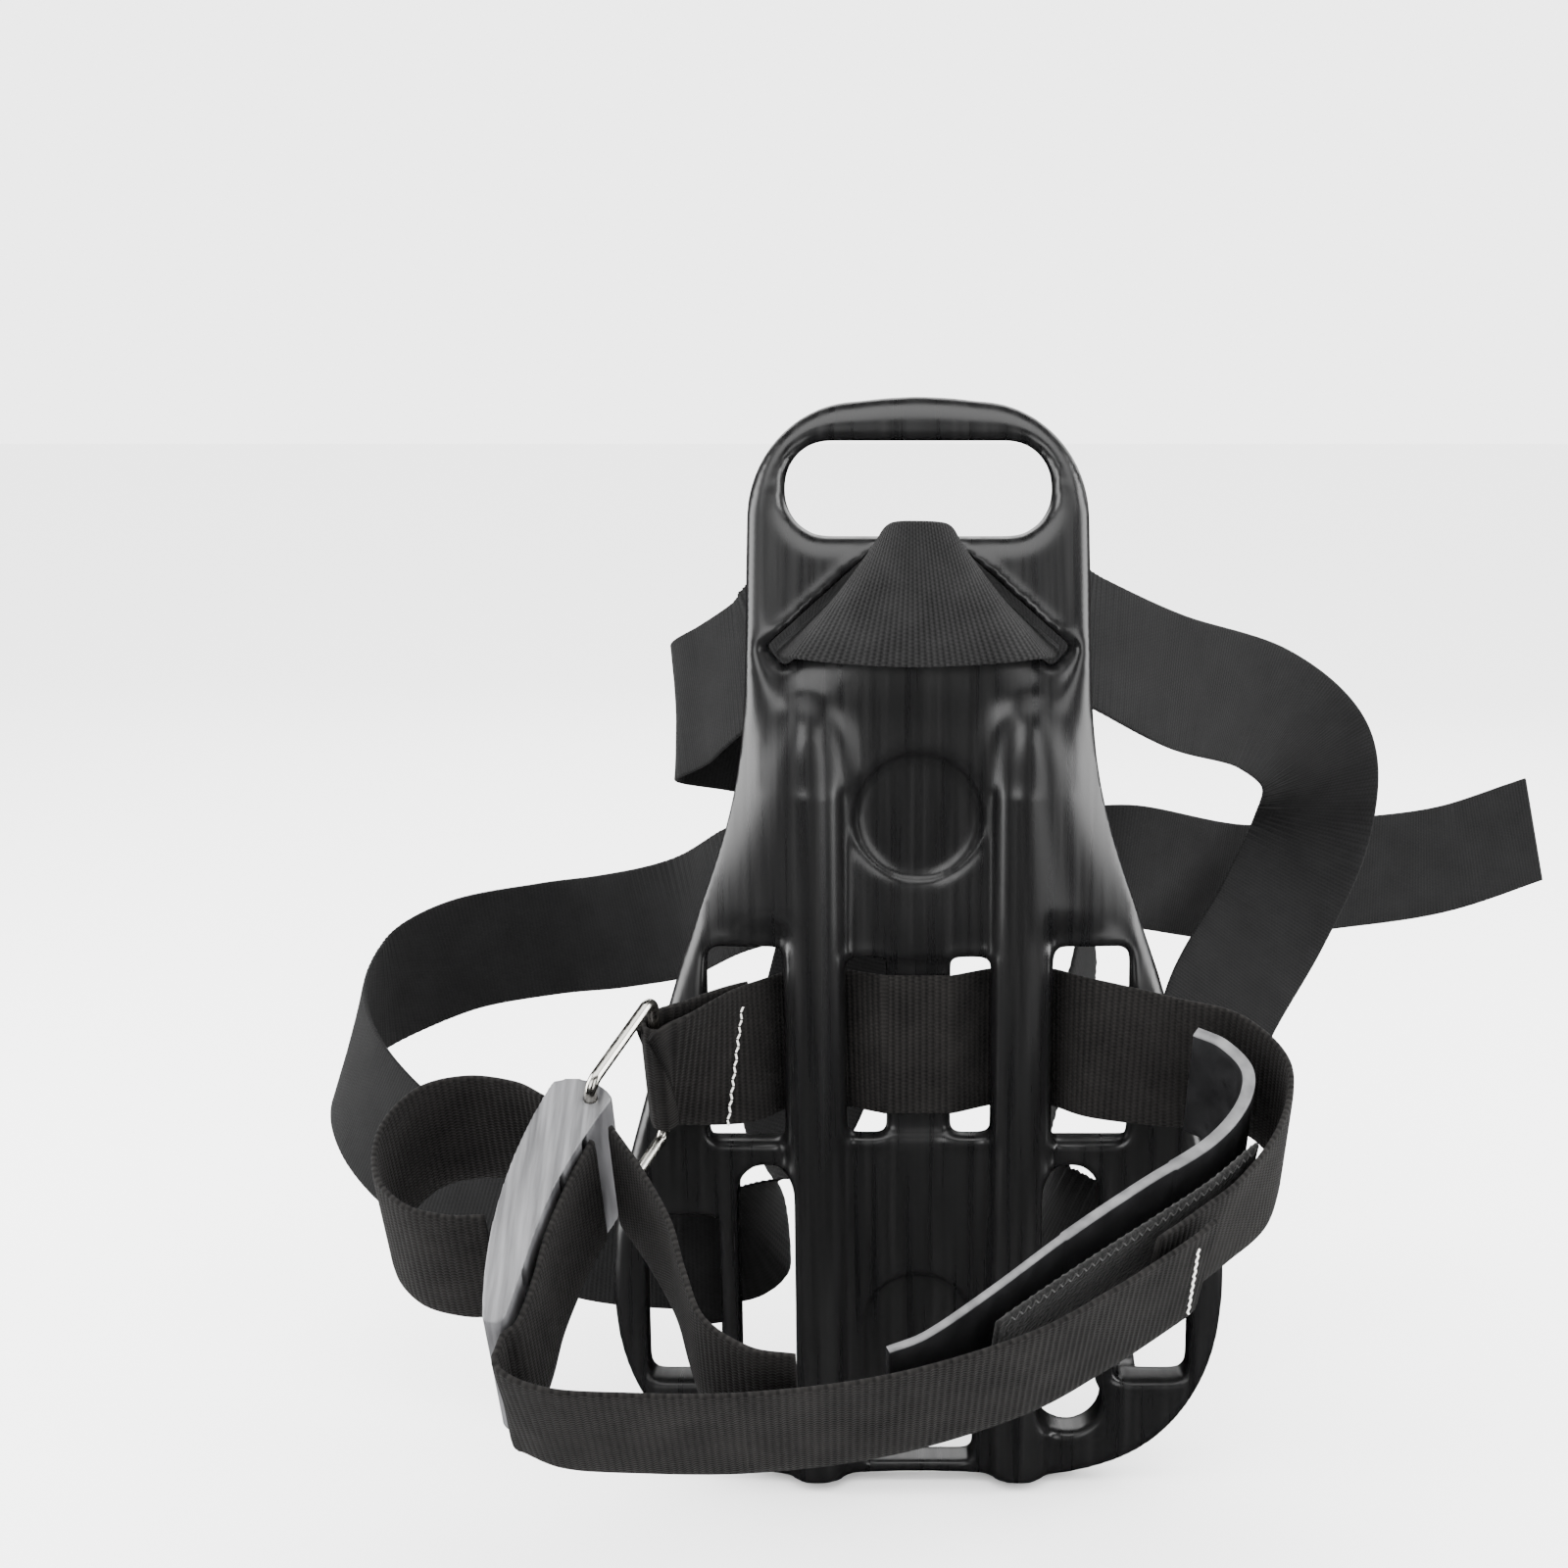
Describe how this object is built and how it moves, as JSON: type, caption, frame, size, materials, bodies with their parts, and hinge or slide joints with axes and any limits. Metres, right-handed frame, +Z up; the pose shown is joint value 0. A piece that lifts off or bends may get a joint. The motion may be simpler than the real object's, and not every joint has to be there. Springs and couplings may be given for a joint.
{
  "type": "breathing cylinder back frame with harness",
  "caption": "Moulded back frame that carries a breathing-gas cylinder on the wearer's back, with webbing harness, cam-buckle cylinder band and waist buckle.",
  "frame": {"origin": "on the centre line, in the plane that touches the two cylinder ridges, 5 mm above the lowest edge of the sole", "axes": "+Z up along the backplate, -Y towards the cylinder, +Y towards the wearer, +X to the right seen from the cylinder side"},
  "size_m": [0.5271, 0.4596, 0.3835],
  "materials": {
    "frame_plastic": "satin blow-moulded, fine grain",
    "lever_plastic": "satin, brushed by use",
    "ring_steel": "drawn wire",
    "pad_rubber": "smooth matte",
    "hook_and_loop": "fuzzy loop face",
    "harness_webbing": "flat woven, fine ribs across",
    "band_webbing": "heavy woven, strong ribs across",
    "buckle_plastic": "injection moulded, satin",
    "white_thread": "twisted thread"
  },
  "bodies": {
    "frame": {"backplate": "frame_plastic", "shoulder_tab": "harness_webbing", "shoulder_strap_right": "harness_webbing", "shoulder_strap_left": "harness_webbing", "waist_belt_left": "harness_webbing", "waist_belt_right": "harness_webbing", "anchor_strap": "band_webbing", "anchor_stitching": "white_thread", "cylinder_strap": "band_webbing", "band_stitching": "white_thread", "loop_patch": "hook_and_loop", "anti_slip_pad": "pad_rubber", "buckle_socket": "buckle_plastic"},
    "ring": {"wire_ring": "ring_steel"},
    "lever": {"cam_lever": "lever_plastic", "cam_loop": "band_webbing", "strap_tail": "band_webbing"},
    "tongue": {"buckle_tongue": "buckle_plastic", "waist_belt_tail": "harness_webbing"},
    "prong_up": {"prong_upper": "buckle_plastic"},
    "prong_down": {"prong_lower": "buckle_plastic"}
  },
  "joints": [
    {"name": "ring_swing", "type": "hinge", "parent": "frame", "child": "ring", "pos_m": [-0.088, -0.01133, 0.1583], "axis": [0, -0.5, 0.866], "range_deg": [-10, 4], "deforming": ["anchor_strap", "cylinder_strap"]},
    {"name": "lever_tilt", "type": "hinge", "parent": "ring", "child": "lever", "pos_m": [-0.105, -0.04553, 0.13855], "axis": [0, -0.5, 0.866], "range_deg": [-25, 5], "deforming": ["cylinder_strap", "cam_loop", "strap_tail"]},
    {"name": "buckle_release", "type": "slide", "parent": "frame", "child": "tongue", "axis": [1, 0, 0], "range_m": [0, 0.045], "deforming": ["waist_belt_right", "waist_belt_tail", "prong_upper", "prong_lower"]},
    {"name": "prong_upper_squeeze", "type": "hinge", "parent": "tongue", "child": "prong_up", "pos_m": [0.0122, 0.145, 0.2105], "axis": [0, 1, 0], "range_deg": [-6, 0], "stiffness_Nm_per_rad": 0.5},
    {"name": "prong_lower_squeeze", "type": "hinge", "parent": "tongue", "child": "prong_down", "pos_m": [0.0122, 0.145, 0.1695], "axis": [0, 1, 0], "range_deg": [0, 6], "stiffness_Nm_per_rad": 0.5}
  ],
  "couplings": [
    {"joint": "prong_lower_squeeze", "follows": "prong_upper_squeeze", "ratio": -1}
  ]
}
